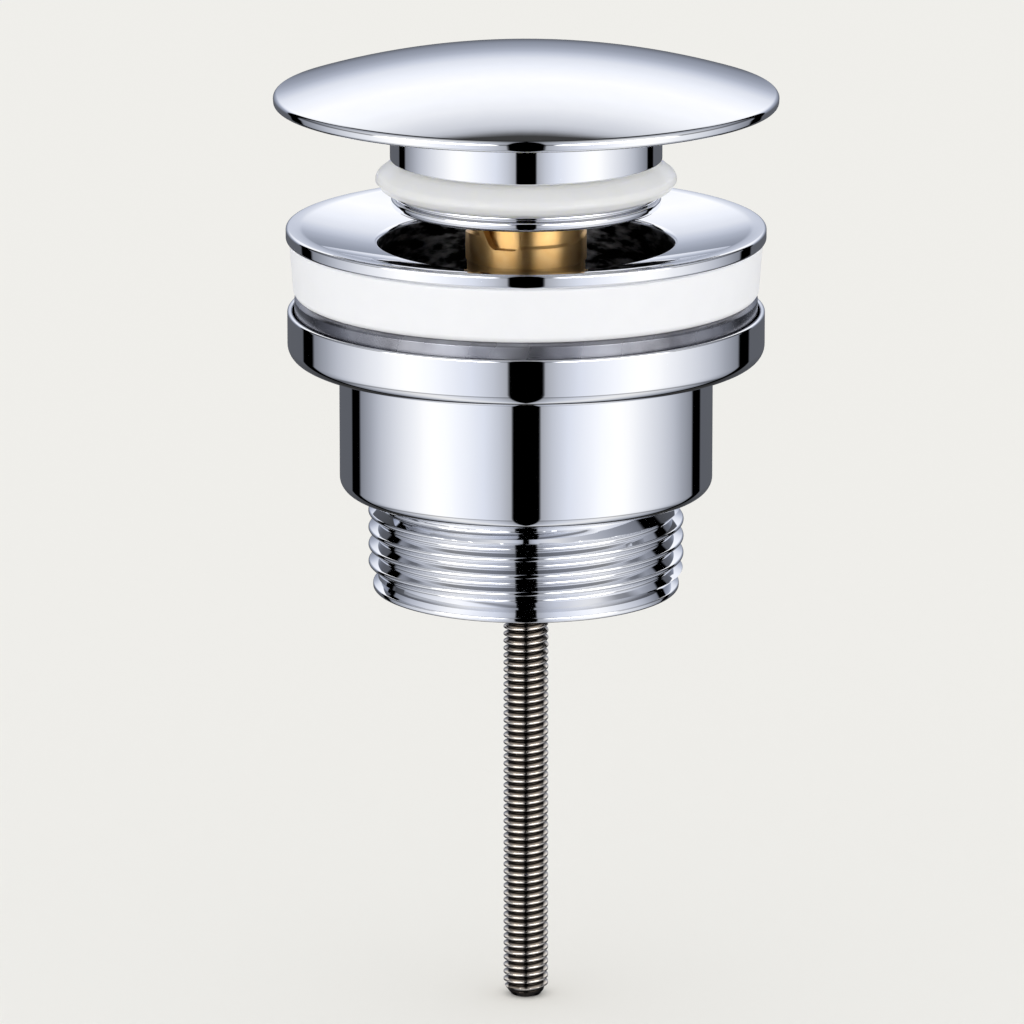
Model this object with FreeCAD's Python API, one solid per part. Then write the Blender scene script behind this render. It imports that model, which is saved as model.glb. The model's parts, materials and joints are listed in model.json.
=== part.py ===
import FreeCAD, Part
import math
import os

# Pop up basin waste, in millimetres. The origin is the centre of the seat under the flange's rim, and +Z
# points up, out of the drain. The plug stands open, and the lower body is drawn up against the flange.

# Running and seating clearances
running_clearance = 0.08
seating_clearance = 0.05
face_clearance = 0.1

# Top flange
flange_radius = 31.7
flange_rim_thickness = 1.8
flange_rim_rounding = 0.4
flange_crest_width = 1.25
dish_drop = 1.9
dish_hollow = 0.15
throat_radius = 19.5
seat_bevel = 0.8
seat_land_width = 3.7
underside_drop = 1.8
skirt_wall = 2.4
skirt_length = 16.0
skirt_end_rounding = 0.5

# Spider and hub inside the flange's skirt, measured down from the rim's seat
arm_count = 4
arm_first_angle = 45.0
arm_root = 0.5
spider_arm_width = 2.6
spider_arm_top = 10.0
spider_arm_height = 5.0
hub_radius = 8.4
hub_top = 5.0
hub_floor_thickness = 3.0
hub_below_arms = 0.5
hub_edge_rounding = 0.6

# O-rings round the skirt
oring_section = 2.0
oring_stand = 0.5
upper_oring_depth = 11.3
oring_pitch = 2.9

# Guide core, screwed into the hub
core_radius = 8.0
core_height = 16.0
core_edge_chamfer = 0.35
core_bore_radius = 5.1
core_bore_depth = 14.4
neck_radius = 7.2
neck_height = 1.9
stud_radius = 5.0
stud_length = 3.6
hub_washer_thickness = 0.5

# Cam track, laid out about the middle of its pocket: sideways and upwards on the core's face
track_count = 2
pocket_angle = -27.0
pocket_depth = 1.3
pocket_floor_left = -0.9
pocket_floor_width = 3.4
pocket_floor_gap = 0.85
pocket_corner_height = 0.85
pocket_wall_height = 3.5
pocket_wall_lean = 1.55
pocket_right_side = 2.9
pocket_head_room = 1.5
latch_tooth_width = 1.7
latch_tooth_level = 2.45
latch_tooth_height = 1.1
latch_island_height = 1.8
recess_step = 0.15
recess_depth = 0.35
recess_start_angle = -6.0
recess_ramp_angle = 47.0
recess_end_angle = 130.0
recess_ramp_slope = 0.16

# Follower ring and its pins
follower_turn = 30.0
follower_start_angle = -50.0
follower_height = 2.4
pin_radius = 0.8
pin_root_inset = 0.5
pin_track_clearance = 0.25
circlip_thickness = 0.8
circlip_width = 1.9
circlip_groove_depth = 0.6
circlip_mouth = 3.0

# Retainer at the foot of the plug, and how high the open plug holds it above the rim's seat
plug_travel = 7.8
retainer_bottom = 4.5
retainer_inset = 0.13
retainer_thickness = 1.9
retainer_groove_width = 0.3
retainer_groove_depth = 0.6
retainer_lip_height = 1.25
retainer_foot_rounding = 0.45
retainer_lip_rounding = 0.15
retainer_hub_height = 9.6
follower_pocket_radius = 11.0
follower_pocket_rise = 3.7

# Lip seal
seal_thickness = 4.34
seal_lip_overlap = 0.45
seal_lip_rise = 1.4
seal_tip_rounding = 0.6
seal_root_step = 0.35
seal_shoulder_height = 0.7

# Plug boss
boss_radius = 17.93
boss_height = 7.56
boss_wall = 3.7
boss_spigot_length = 2.7
boss_spigot_wall = 2.2
boss_edge_rounding = 0.3

# Plug cap, measured up from its seat on the boss
cap_radius = 33.3
cap_rim_rise = 1.2
cap_dome_rise = 5.45
cap_edge_rounding = 0.35
cap_rim_height = 1.4
cap_rim_taper = 0.1
cap_foot_rounding = 0.45
cap_lip_width = 1.6
cap_wall = 1.6
cap_seat_overhang = 1.5
cap_seat_width = 3.0
cap_socket_radius = 6.0

# Plunger and return spring
plunger_stem_radius = 3.0
plunger_foot_thickness = 1.6
plunger_foot_stand = 0.2
plunger_thread_depth = 1.0
plunger_foot_rounding = 0.3
spring_wire_radius = 0.35
spring_wire_sides = 8
spring_turns = 6.0
spring_wall_gap = 0.5
spring_seat_thickness = 0.4
spring_seat_bore = 2.0

# Clamp screw
screw_radius = 3.0
screw_length = 92.15
screw_end_chamfer = 0.9
screw_head_radius = 4.6
screw_head_height = 2.6
screw_head_rounding = 0.5
screw_slot_width = 1.2
screw_slot_depth = 1.3
thrust_washer_thickness = 0.8

# Basin gasket and seat ring
gasket_inset = 0.45
gasket_height = 7.3
gasket_foot_inset = 0.55
gasket_corner_rounding = 1.0
gasket_rim_rounding = 0.3
ring_bore_clearance = 0.8
seat_ring_clearance = 0.25
seat_ring_wall = 1.6
seat_ring_chamfer = 0.5

# Lower body: cup, barrel and threaded tail
cup_inset = 0.15
cup_lip_level = 9.4
cup_lip_width = 0.7
cup_lip_rounding = 0.3
cup_height = 6.45
cup_floor_thickness = 2.0
cup_corner_rounding = 1.9
barrel_radius = 24.72
barrel_length = 17.85
barrel_floor_thickness = 2.3
barrel_corner_rounding = 1.7
bore_clearance = 0.1
tail_radius = 20.955
tail_length = 13.5
tail_wall = 3.0
tail_relief_depth = 1.5
tail_relief_width = 1.3
tail_end_chamfer = 0.8
bridge_arm_width = 2.8
bridge_arm_height = 4.5
bridge_drop = 0.7
bridge_hub_radius = 6.2
bridge_hub_height = 8.0

# Radii and levels that follow from the sizes above
skirt_radius = throat_radius + skirt_wall
crest_radius = flange_radius - flange_rim_rounding - flange_crest_width
land_radius = flange_radius - seat_land_width
bevel_radius = throat_radius + seat_bevel
bevel_level = flange_rim_thickness - dish_drop
hub_bottom = spider_arm_top + spider_arm_height + hub_below_arms
hub_floor = hub_bottom - hub_floor_thickness
hub_bore_radius = stud_radius + seating_clearance
oring_radius = skirt_radius + oring_stand
core_seat = -hub_top + hub_washer_thickness
core_bottom = core_seat + neck_height
core_top = core_bottom + core_height
core_bore_floor = core_top - core_bore_depth
retainer_top = retainer_bottom + retainer_thickness
retainer_radius = boss_radius - retainer_inset
retainer_bore_radius = core_radius + running_clearance
retainer_hub_radius = boss_radius - boss_wall - seating_clearance
follower_pocket_floor = retainer_bottom + follower_pocket_rise
follower_bottom = follower_pocket_floor + face_clearance
pin_level = follower_bottom + follower_height / 2
circlip_level = follower_bottom + follower_height + face_clearance
pocket_floor = pin_level - plug_travel - pin_radius - pocket_floor_gap
pocket_top = pin_level + pocket_head_room
recess_floor = pocket_floor + recess_step
boss_bottom = retainer_top + seal_thickness
seal_radius = throat_radius + seal_lip_overlap
seal_lip_level = retainer_top + seal_lip_rise
cap_seat_level = boss_bottom + boss_height
cap_rim_level = cap_seat_level + cap_rim_rise
cap_top = cap_rim_level + cap_dome_rise
cap_foot_radius = cap_radius - cap_rim_taper
cap_foot_level = cap_rim_level - cap_rim_height
cap_socket_level = core_top + plug_travel + 3 * face_clearance
plunger_foot_bottom = core_top - plunger_foot_thickness + plunger_foot_stand
screw_head_seat = -hub_floor + thrust_washer_thickness + seating_clearance
screw_end = screw_head_seat - screw_length
gasket_radius = flange_radius - gasket_inset
gasket_bottom = -face_clearance - gasket_height
ring_bore_radius = skirt_radius + ring_bore_clearance
barrel_bore_radius = oring_radius + bore_clearance
cup_radius = flange_radius - cup_inset
seat_ring_radius = cup_radius - cup_lip_width - seat_ring_clearance
cup_bottom = -cup_lip_level - cup_height
cup_floor = cup_bottom + cup_floor_thickness
barrel_bottom = cup_bottom - barrel_length
tail_bore_radius = tail_radius - tail_wall
tail_end = barrel_bottom - tail_length


def point(radius, height):
    return FreeCAD.Vector(radius, 0.0, height)


def rounded_corner(before, corner, after, rounding):
    # Start, middle and end of the arc that rounds a corner between two straight sides.
    back = (before - corner).normalize()
    ahead = (after - corner).normalize()
    half_angle = back.getAngle(ahead) / 2
    reach = rounding / math.tan(half_angle)
    centre = corner + (back + ahead).normalize() * (rounding / math.sin(half_angle))
    middle = centre + (corner - centre).normalize() * rounding
    return corner + back * reach, middle, corner + ahead * reach


def turned(*corners):
    # A solid turned about Z. A corner is (radius, height) or (radius, height, rounding), and ("arc", radius,
    # height) between two corners gives a point that the side between them bends through.
    stops = [c for c in corners if c[0] != "arc"]
    bends = {}
    for place, corner in enumerate(corners):
        if corner[0] == "arc":
            bends[sum(1 for c in corners[:place] if c[0] != "arc") - 1] = point(corner[1], corner[2])
    places = [point(c[0], c[1]) for c in stops]
    ends = []
    for i, corner in enumerate(stops):
        if len(corner) == 3:
            before = places[i - 1]
            after = places[(i + 1) % len(places)]
            ends.append(rounded_corner(before, places[i], after, corner[2]))
        else:
            ends.append((places[i], None, places[i]))
    edges = []
    for i, (start, middle, end) in enumerate(ends):
        if middle:
            edges.append(Part.Arc(start, middle, end).toShape())
        following = ends[(i + 1) % len(ends)][0]
        if i in bends:
            edges.append(Part.Arc(end, bends[i], following).toShape())
        elif end.distanceToPoint(following) > 1e-6:
            edges.append(Part.LineSegment(end, following).toShape())
    face = Part.Face(Part.Wire(edges))
    return face.revolve(FreeCAD.Vector(), FreeCAD.Vector(0, 0, 1), 360)


def tube(inner, outer, bottom, top):
    return turned((inner, bottom), (outer, bottom), (outer, top), (inner, top))


def around(shape, angle):
    copy = shape.copy()
    copy.rotate(FreeCAD.Vector(), FreeCAD.Vector(0, 0, 1), angle)
    return copy


def arms(inner, outer, width, bottom, height):
    # Straight arms from a hub to a wall. Their upper edges are bevelled, so that nothing catches on them.
    bevel = width / 4
    half = width / 2
    outline = [(-half, 0), (half, 0), (half, height - bevel), (half - bevel, height)]
    outline += [(bevel - half, height), (-half, height - bevel)]
    corners = [FreeCAD.Vector(inner, across, bottom + up) for across, up in outline]
    face = Part.Face(Part.makePolygon(corners + corners[:1]))
    arm = face.extrude(FreeCAD.Vector(outer - inner, 0, 0))
    step = 360.0 / arm_count
    return [around(arm, arm_first_angle + step * i) for i in range(arm_count)]


def sector(inner, outer, bottom, top, first_angle, last_angle):
    # A piece of a ring. Angles are counted from the front, -Y, towards +X.
    height = top - bottom
    base = FreeCAD.Vector(0, 0, bottom)
    up = FreeCAD.Vector(0, 0, 1)
    piece = Part.makeCylinder(outer, height, base, up, last_angle - first_angle)
    piece = piece.cut(Part.makeCylinder(inner, height, base, up))
    return around(piece, first_angle - 90.0)


def dome_height(radius, depth):
    # Height of the cap's dome, or of the ceiling that lies depth below it, at a distance from the axis.
    rise = cap_top - cap_rim_level
    sphere = (cap_radius ** 2 + rise ** 2) / (2 * rise)
    return cap_top - sphere + math.sqrt((sphere - depth) ** 2 - radius ** 2)


def make_top_flange():
    crest = flange_rim_thickness
    dish_middle = (crest_radius + bevel_radius) / 2
    flange = turned(
        (flange_radius, 0.0, flange_rim_rounding),
        (flange_radius, crest, flange_rim_rounding),
        (crest_radius, crest),
        ("arc", dish_middle, crest - dish_drop / 2 - dish_hollow),
        (bevel_radius, bevel_level),
        (throat_radius, bevel_level - seat_bevel),
        (throat_radius, -skirt_length),
        (skirt_radius, -skirt_length, skirt_end_rounding),
        (skirt_radius, -underside_drop),
        (land_radius, 0.0),
    )
    groove_bottom = oring_radius - oring_section - seating_clearance
    for i in range(2):
        level = -upper_oring_depth - oring_pitch * i
        half = oring_section / 2 + face_clearance
        flange = flange.cut(tube(groove_bottom, skirt_radius + 1, level - half, level + half))
    hub = turned(
        (hub_bore_radius, -hub_floor),
        (hub_bore_radius, -hub_top),
        (hub_radius, -hub_top, hub_edge_rounding),
        (hub_radius, -hub_bottom, hub_edge_rounding),
        (screw_radius + running_clearance, -hub_bottom),
        (screw_radius + running_clearance, -hub_floor),
    )
    arm_bottom = -spider_arm_top - spider_arm_height
    spider = arms(
        hub_radius - arm_root, throat_radius + arm_root, spider_arm_width, arm_bottom, spider_arm_height
    )
    return flange.fuse([hub] + spider).removeSplitter()


def make_skirt_oring(number):
    section = oring_section / 2
    level = -upper_oring_depth - oring_pitch * number
    return Part.makeTorus(oring_radius - section, section, FreeCAD.Vector(0, 0, level))


def make_guide_core():
    core = turned(
        (0.0, core_seat - stud_length),
        (stud_radius - core_edge_chamfer, core_seat - stud_length),
        (stud_radius, core_seat - stud_length + core_edge_chamfer),
        (stud_radius, core_seat),
        (neck_radius, core_seat),
        (neck_radius, core_bottom),
        (core_radius - core_edge_chamfer, core_bottom),
        (core_radius, core_bottom + core_edge_chamfer),
        (core_radius, core_top - core_edge_chamfer),
        (core_radius - core_edge_chamfer, core_top),
        (core_bore_radius, core_top),
        (core_bore_radius, core_bore_floor),
        (0.0, core_bore_floor),
    )
    track = make_cam_track()
    step = 360.0 / track_count
    return core.cut([around(track, step * i) for i in range(track_count)])


def make_cam_track():
    # One track: a deep pocket that the pin comes down, with a latch tooth over its right half, and a shallow
    # recess that leads back up, level at first and then on a ramp.
    wall_left = pocket_floor_left - pocket_wall_lean
    leg_width = 2 * (pin_radius + pin_track_clearance)
    leg_left = core_radius * math.sin(math.radians(follower_start_angle - pocket_angle)) - leg_width / 2
    leg_right = leg_left + leg_width + pin_track_clearance
    leg_drift = core_radius * math.radians(follower_turn) / 4
    tooth_left = pocket_right_side - latch_tooth_width
    tooth_point = pocket_floor + latch_tooth_level
    outline = [
        (pocket_floor_left, pocket_floor),
        (pocket_floor_left + pocket_floor_width, pocket_floor),
        (pocket_right_side, pocket_floor + pocket_corner_height),
        (pocket_right_side, tooth_point + 0.1 * latch_tooth_height),
        (tooth_left + 0.6 * latch_tooth_width, tooth_point + 0.65 * latch_tooth_height),
        (tooth_left + 0.3 * latch_tooth_width, tooth_point),
        (tooth_left, tooth_point + latch_tooth_height),
        (tooth_left - leg_drift, tooth_point + latch_tooth_height + latch_island_height),
        (leg_right, pin_level),
        (leg_right - pin_track_clearance, pocket_top),
        (leg_left + pin_track_clearance, pocket_top),
        (leg_left - pin_track_clearance, pocket_top - pin_radius),
        (wall_left, pocket_floor + pocket_wall_height),
    ]
    corners = [FreeCAD.Vector(across, -core_radius - 1, up) for across, up in outline]
    face = Part.Face(Part.makePolygon(corners + corners[:1]))
    pocket = face.extrude(FreeCAD.Vector(0, core_radius, 0))
    core_of_pocket = Part.makeCylinder(core_radius - pocket_depth, pocket_top * 2, FreeCAD.Vector(0, 0, -1))
    pocket = around(pocket.cut(core_of_pocket), pocket_angle)
    inner = core_radius - recess_depth
    outer = core_radius + 1
    level = sector(inner, outer, recess_floor, pocket_top, recess_start_angle, recess_ramp_angle)
    ramp = sector(inner, outer, recess_floor - 1, pocket_top, recess_ramp_angle - 0.01, recess_end_angle)
    reach = 2 * outer
    below = Part.makeBox(2 * reach, reach, reach, FreeCAD.Vector(-reach, 0, -reach))
    below.rotate(FreeCAD.Vector(), FreeCAD.Vector(1, 0, 0), math.degrees(math.atan(recess_ramp_slope)))
    below.translate(FreeCAD.Vector(0, 0, recess_floor))
    ramp = ramp.cut(around(below, recess_ramp_angle - 90.0))
    return pocket.fuse([level, ramp])


def make_hub_washer():
    return tube(hub_bore_radius, neck_radius - 2 * face_clearance, -hub_top, core_seat)


def make_spring_seat():
    outer = core_bore_radius - seating_clearance
    return tube(spring_seat_bore, outer, core_bore_floor, core_bore_floor + spring_seat_thickness)


def make_return_spring():
    # The wire has flat sides, few enough to keep its mesh small and true to its volume.
    bottom = core_bore_floor + spring_seat_thickness + spring_wire_radius + seating_clearance
    top = plunger_foot_bottom - spring_wire_radius - seating_clearance
    radius = core_bore_radius - spring_wall_gap - spring_wire_radius
    helix = Part.makeHelix((top - bottom) / spring_turns, top - bottom, radius)
    helix.translate(FreeCAD.Vector(0, 0, bottom))
    corners = []
    for i in range(spring_wire_sides):
        turn = 2 * math.pi * (i + 0.5) / spring_wire_sides
        across = spring_wire_radius * math.cos(turn)
        up = spring_wire_radius * math.sin(turn)
        corners.append(point(radius + across, bottom + up))
    section = Part.makePolygon(corners + corners[:1])
    return Part.Wire(helix.Edges).makePipeShell([section], True, True)


def make_plug_cap():
    ceiling = cap_wall
    lip_inner = cap_foot_radius - cap_lip_width
    dome_end = cap_radius - 3 * cap_edge_rounding
    seat_outer = boss_radius + cap_seat_overhang
    seat_inner = seat_outer - cap_seat_width
    socket = cap_socket_radius
    thread = plunger_stem_radius + seating_clearance
    thread_top = cap_socket_level + plunger_thread_depth + face_clearance
    hollow_middle = (lip_inner + seat_outer) / 2
    room_middle = (seat_inner + socket) / 2
    return turned(
        (0.0, cap_top),
        ("arc", dome_end / 2, dome_height(dome_end / 2, 0.0)),
        (dome_end, dome_height(dome_end, 0.0)),
        (cap_radius, cap_rim_level, cap_edge_rounding),
        (cap_foot_radius, cap_foot_level, cap_foot_rounding),
        (lip_inner, cap_foot_level),
        (lip_inner, dome_height(lip_inner, ceiling)),
        ("arc", hollow_middle, dome_height(hollow_middle, ceiling)),
        (seat_outer, dome_height(seat_outer, ceiling)),
        (seat_outer, cap_seat_level),
        (seat_inner, cap_seat_level),
        (seat_inner, dome_height(seat_inner, ceiling)),
        ("arc", room_middle, dome_height(room_middle, ceiling)),
        (socket, dome_height(socket, ceiling)),
        (socket, cap_socket_level),
        (thread, cap_socket_level),
        (thread, thread_top),
        (0.0, thread_top),
    )


def make_plug_boss():
    inner = boss_radius - boss_wall
    spigot = inner + boss_spigot_wall
    return turned(
        (inner, boss_bottom),
        (boss_radius, boss_bottom, boss_edge_rounding),
        (boss_radius, cap_seat_level),
        (spigot - seating_clearance, cap_seat_level),
        (spigot - seating_clearance, cap_seat_level + boss_spigot_length, boss_edge_rounding),
        (inner, cap_seat_level + boss_spigot_length),
    )


def make_plug_seal():
    root = boss_radius - seal_root_step
    tip = seal_radius - seal_tip_rounding
    return turned(
        (retainer_hub_radius + seating_clearance, retainer_top),
        (root, retainer_top),
        (tip, seal_lip_level - seal_tip_rounding),
        ("arc", seal_radius, seal_lip_level),
        (tip + face_clearance, seal_lip_level + seal_tip_rounding),
        (root, boss_bottom - seal_shoulder_height),
        (root - 2 * face_clearance, boss_bottom),
        (retainer_hub_radius + seating_clearance, boss_bottom),
    )


def make_seal_retainer():
    pocket = follower_pocket_radius
    groove_level = circlip_level - seating_clearance
    groove_top = circlip_level + circlip_thickness + seating_clearance
    lip_top = retainer_bottom + retainer_lip_height
    waist = retainer_radius - retainer_groove_depth
    return turned(
        (retainer_bore_radius, retainer_bottom + core_edge_chamfer),
        (retainer_bore_radius + core_edge_chamfer, retainer_bottom),
        (retainer_radius, retainer_bottom, retainer_foot_rounding),
        (retainer_radius, lip_top, retainer_lip_rounding),
        (waist, lip_top),
        (waist, lip_top + retainer_groove_width),
        (retainer_radius - face_clearance, lip_top + retainer_groove_width),
        (retainer_radius - face_clearance, retainer_top),
        (retainer_hub_radius, retainer_top),
        (retainer_hub_radius, retainer_top + retainer_hub_height),
        (pocket, retainer_top + retainer_hub_height),
        (pocket, groove_top),
        (pocket + circlip_groove_depth, groove_top),
        (pocket + circlip_groove_depth, groove_level),
        (pocket, groove_level),
        (pocket, follower_pocket_floor),
        (retainer_bore_radius, follower_pocket_floor),
    )


def pin_pair(inner, outer):
    pins = []
    step = 360.0 / track_count
    for i in range(track_count):
        pin = Part.makeCylinder(
            pin_radius, outer - inner, FreeCAD.Vector(0, -inner, pin_level), FreeCAD.Vector(0, -1, 0)
        )
        pins.append(around(pin, follower_start_angle + step * i))
    return pins


def make_follower_ring():
    inner = core_radius + 2 * face_clearance
    outer = follower_pocket_radius - running_clearance
    ring = tube(inner, outer, follower_bottom, follower_bottom + follower_height)
    return ring.cut(pin_pair(inner - 1, outer - pin_root_inset))


def make_follower_pins():
    tip = core_radius - pocket_depth + pin_track_clearance
    outer = follower_pocket_radius - running_clearance - pin_root_inset
    return Part.makeCompound(pin_pair(tip, outer))


def make_follower_circlip():
    outer = follower_pocket_radius + circlip_groove_depth - seating_clearance
    ring = tube(outer - circlip_width, outer, circlip_level, circlip_level + circlip_thickness)
    corner = FreeCAD.Vector(-circlip_mouth / 2, 0, circlip_level - circlip_thickness / 2)
    mouth = Part.makeBox(circlip_mouth, outer, 2 * circlip_thickness, corner)
    return ring.cut(mouth)


def make_plunger():
    foot = core_bore_radius - running_clearance
    foot_top = plunger_foot_bottom + plunger_foot_thickness
    return turned(
        (0.0, plunger_foot_bottom),
        (foot, plunger_foot_bottom, plunger_foot_rounding),
        (foot, foot_top, plunger_foot_rounding),
        (plunger_stem_radius, foot_top),
        (plunger_stem_radius, cap_socket_level + plunger_thread_depth),
        (0.0, cap_socket_level + plunger_thread_depth),
    )


def make_thrust_washer():
    inner = screw_radius + running_clearance
    return tube(inner, hub_bore_radius - seating_clearance, -hub_floor, -hub_floor + thrust_washer_thickness)


def make_clamp_screw():
    head_top = screw_head_seat + screw_head_height
    screw = turned(
        (0.0, head_top),
        (screw_head_radius, head_top, screw_head_rounding),
        (screw_head_radius, screw_head_seat),
        (screw_radius, screw_head_seat),
        (screw_radius, screw_end + screw_end_chamfer),
        (screw_radius - screw_end_chamfer, screw_end),
        (0.0, screw_end),
    )
    slot = Part.makeBox(
        2 * screw_head_radius + 2,
        screw_slot_width,
        screw_slot_depth + 1,
        FreeCAD.Vector(-screw_head_radius - 1, -screw_slot_width / 2, head_top - screw_slot_depth),
    )
    return screw.cut(slot)


def make_basin_gasket():
    # The top is moulded to the flange's underside: a level land under the rim, and a cone within it.
    bore = ring_bore_radius
    slope = underside_drop / (land_radius - skirt_radius)
    foot = gasket_radius - gasket_foot_inset
    return turned(
        (bore, gasket_bottom),
        (foot, gasket_bottom, gasket_corner_rounding),
        (gasket_radius, -face_clearance, gasket_rim_rounding),
        (land_radius, -face_clearance),
        (bore, -face_clearance - slope * (land_radius - bore)),
    )


def make_seat_ring():
    # A channel: a flat seat for the gasket, on an outer and an inner wall that stand in the cup.
    inner = ring_bore_radius
    outer = seat_ring_radius
    web = gasket_bottom - seat_ring_wall
    return turned(
        (inner, cup_floor),
        (inner + seat_ring_wall, cup_floor),
        (inner + seat_ring_wall, web),
        (outer - seat_ring_wall, web),
        (outer - seat_ring_wall, cup_floor),
        (outer, cup_floor),
        (outer, gasket_bottom - seat_ring_chamfer),
        (outer - seat_ring_chamfer, gasket_bottom),
        (inner, gasket_bottom),
    )


def make_lower_body():
    barrel_floor = barrel_bottom + barrel_floor_thickness
    relief = tail_radius - tail_relief_depth
    relief_end = barrel_bottom - tail_relief_width
    body = turned(
        (cup_radius - cup_lip_width, cup_floor),
        (cup_radius - cup_lip_width, -cup_lip_level, cup_lip_rounding),
        (cup_radius, -cup_lip_level, cup_lip_rounding),
        (cup_radius, cup_bottom, cup_corner_rounding),
        (barrel_radius, cup_bottom),
        (barrel_radius, barrel_bottom, barrel_corner_rounding),
        (relief, barrel_bottom),
        (relief, relief_end),
        (tail_radius - tail_end_chamfer, relief_end),
        (tail_radius, relief_end - tail_end_chamfer),
        (tail_radius, tail_end + tail_end_chamfer),
        (tail_radius - tail_end_chamfer, tail_end),
        (tail_bore_radius, tail_end),
        (tail_bore_radius, barrel_floor),
        (barrel_bore_radius, barrel_floor),
        (barrel_bore_radius, cup_floor),
    )
    arm_bottom = barrel_bottom - bridge_drop - bridge_arm_height
    hub_middle = arm_bottom + bridge_arm_height / 2
    thread = screw_radius + running_clearance
    hub = turned(
        (thread, hub_middle - bridge_hub_height / 2),
        (bridge_hub_radius, hub_middle - bridge_hub_height / 2, hub_edge_rounding),
        (bridge_hub_radius, hub_middle + bridge_hub_height / 2, hub_edge_rounding),
        (thread, hub_middle + bridge_hub_height / 2),
    )
    bridge = arms(
        bridge_hub_radius - arm_root,
        tail_bore_radius + arm_root,
        bridge_arm_width,
        arm_bottom,
        bridge_arm_height,
    )
    return body.fuse([hub] + bridge).removeSplitter()


os.makedirs("parts", exist_ok=True)
nodes = {
    "plug_cap": make_plug_cap(),
    "plug_boss": make_plug_boss(),
    "plug_seal": make_plug_seal(),
    "seal_retainer": make_seal_retainer(),
    "plunger": make_plunger(),
    "follower_ring": make_follower_ring(),
    "follower_pins": make_follower_pins(),
    "follower_circlip": make_follower_circlip(),
    "return_spring": make_return_spring(),
    "spring_seat": make_spring_seat(),
    "guide_core": make_guide_core(),
    "hub_washer": make_hub_washer(),
    "top_flange": make_top_flange(),
    "upper_oring": make_skirt_oring(0),
    "lower_oring": make_skirt_oring(1),
    "clamp_screw": make_clamp_screw(),
    "thrust_washer": make_thrust_washer(),
    "basin_gasket": make_basin_gasket(),
    "seat_ring": make_seat_ring(),
    "lower_body": make_lower_body(),
}
for name, shape in nodes.items():
    shape.exportStep(os.path.join("parts", name + ".step"))
    print(name, "solids", len(shape.Solids), "valid", shape.isValid(), "volume", round(shape.Volume, 1))
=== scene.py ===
import json
import math

import bmesh
import bpy
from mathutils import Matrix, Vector


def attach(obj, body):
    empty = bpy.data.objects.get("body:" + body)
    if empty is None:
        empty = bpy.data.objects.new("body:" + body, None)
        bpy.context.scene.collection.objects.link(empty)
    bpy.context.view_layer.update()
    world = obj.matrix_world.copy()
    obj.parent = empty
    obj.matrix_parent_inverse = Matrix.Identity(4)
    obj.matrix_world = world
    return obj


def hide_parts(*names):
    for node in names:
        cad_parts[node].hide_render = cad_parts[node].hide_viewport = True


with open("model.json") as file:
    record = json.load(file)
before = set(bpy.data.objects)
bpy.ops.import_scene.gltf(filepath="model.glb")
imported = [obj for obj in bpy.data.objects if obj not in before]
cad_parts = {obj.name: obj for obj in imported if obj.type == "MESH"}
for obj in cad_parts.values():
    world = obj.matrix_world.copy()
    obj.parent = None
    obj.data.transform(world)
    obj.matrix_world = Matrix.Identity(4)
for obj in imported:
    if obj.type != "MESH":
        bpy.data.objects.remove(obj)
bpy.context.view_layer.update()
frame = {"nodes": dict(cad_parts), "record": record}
mm = 0.001
fullTurn = 2 * math.pi
weld = 0.001 * mm  # points nearer than this are one point
roundSteps = 320  # divisions of the large turned pieces
coreSteps = 192
hubSteps = 128
screwSteps = 64
cornerFaces = ((0.4, 12), (0.15, 6), (0.0, 3))  # a rounding above the first number gets so many faces
print("frame loaded:", len(frame["nodes"]), "nodes")


# Materials. Every colour is an sRGB hex value, turned to linear here.

mixFirst, mixSecond, mixResult = 6, 7, 2  # the colour sockets of a Mix node
waveFactor = 20  # radians that a wave texture of scale 1 runs through in a metre
bumpStrength = 0.6


def linearColour(hexColour):
    channels = []
    for i in (0, 2, 4):
        value = int(hexColour[i:i + 2], 16) / 255
        channels.append(value / 12.92 if value <= 0.04045 else ((value + 0.055) / 1.055) ** 2.4)
    return (*channels, 1.0)


def addNode(tree, kind, settings=None, inputs=None):
    # settings are the node's own properties, and a ramp's stops as (place from 0 to 1, colour);
    # inputs are values, or sockets to link from
    node = tree.nodes.new(kind)
    for key, value in (settings or {}).items():
        if key == "stops":
            elements = node.color_ramp.elements
            while len(elements) < len(value):
                elements.new(0.5)
            for element, (place, colour) in zip(elements, value):
                element.position = place
                element.color = colour
        else:
            setattr(node, key, value)
    for key, value in (inputs or {}).items():
        if isinstance(value, bpy.types.NodeSocket):
            tree.links.new(value, node.inputs[key])
        else:
            node.inputs[key].default_value = value
    return node


def newMaterial(name, uniform):
    # uniform holds what is the same all over the surface
    material = bpy.data.materials.new(name)
    material.use_nodes = True
    for key, value in uniform.items():
        material.node_tree.nodes["Principled BSDF"].inputs[key].default_value = value
    return material


def objectPoint(tree, stretch=(1, 1, 1)):
    # object coordinates in metres; a pattern is drawn finer along an axis whose number is larger
    place = addNode(tree, "ShaderNodeTexCoord").outputs["Object"]
    return addNode(tree, "ShaderNodeMapping", None, {"Vector": place, "Scale": stretch}).outputs["Vector"]


def blotches(tree, grain, stretch=(1, 1, 1), detail=3.0):
    # soft patches from 0 to 1, about one grain in size, in millimetres
    return addNode(
        tree, "ShaderNodeTexNoise", None,
        {"Vector": objectPoint(tree, stretch), "Scale": 1 / (grain * mm), "Detail": detail},
    ).outputs["Fac"]


def turningMarks(tree, spacing):
    # rings that a lathe tool leaves, spacing in millimetres along the axis
    return addNode(
        tree, "ShaderNodeTexWave", {"bands_direction": "Z", "wave_profile": "SAW"},
        {"Vector": objectPoint(tree), "Scale": fullTurn / waveFactor / (spacing * mm), "Distortion": 1.5,
         "Detail": 1.0},
    ).outputs["Fac"]


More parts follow.
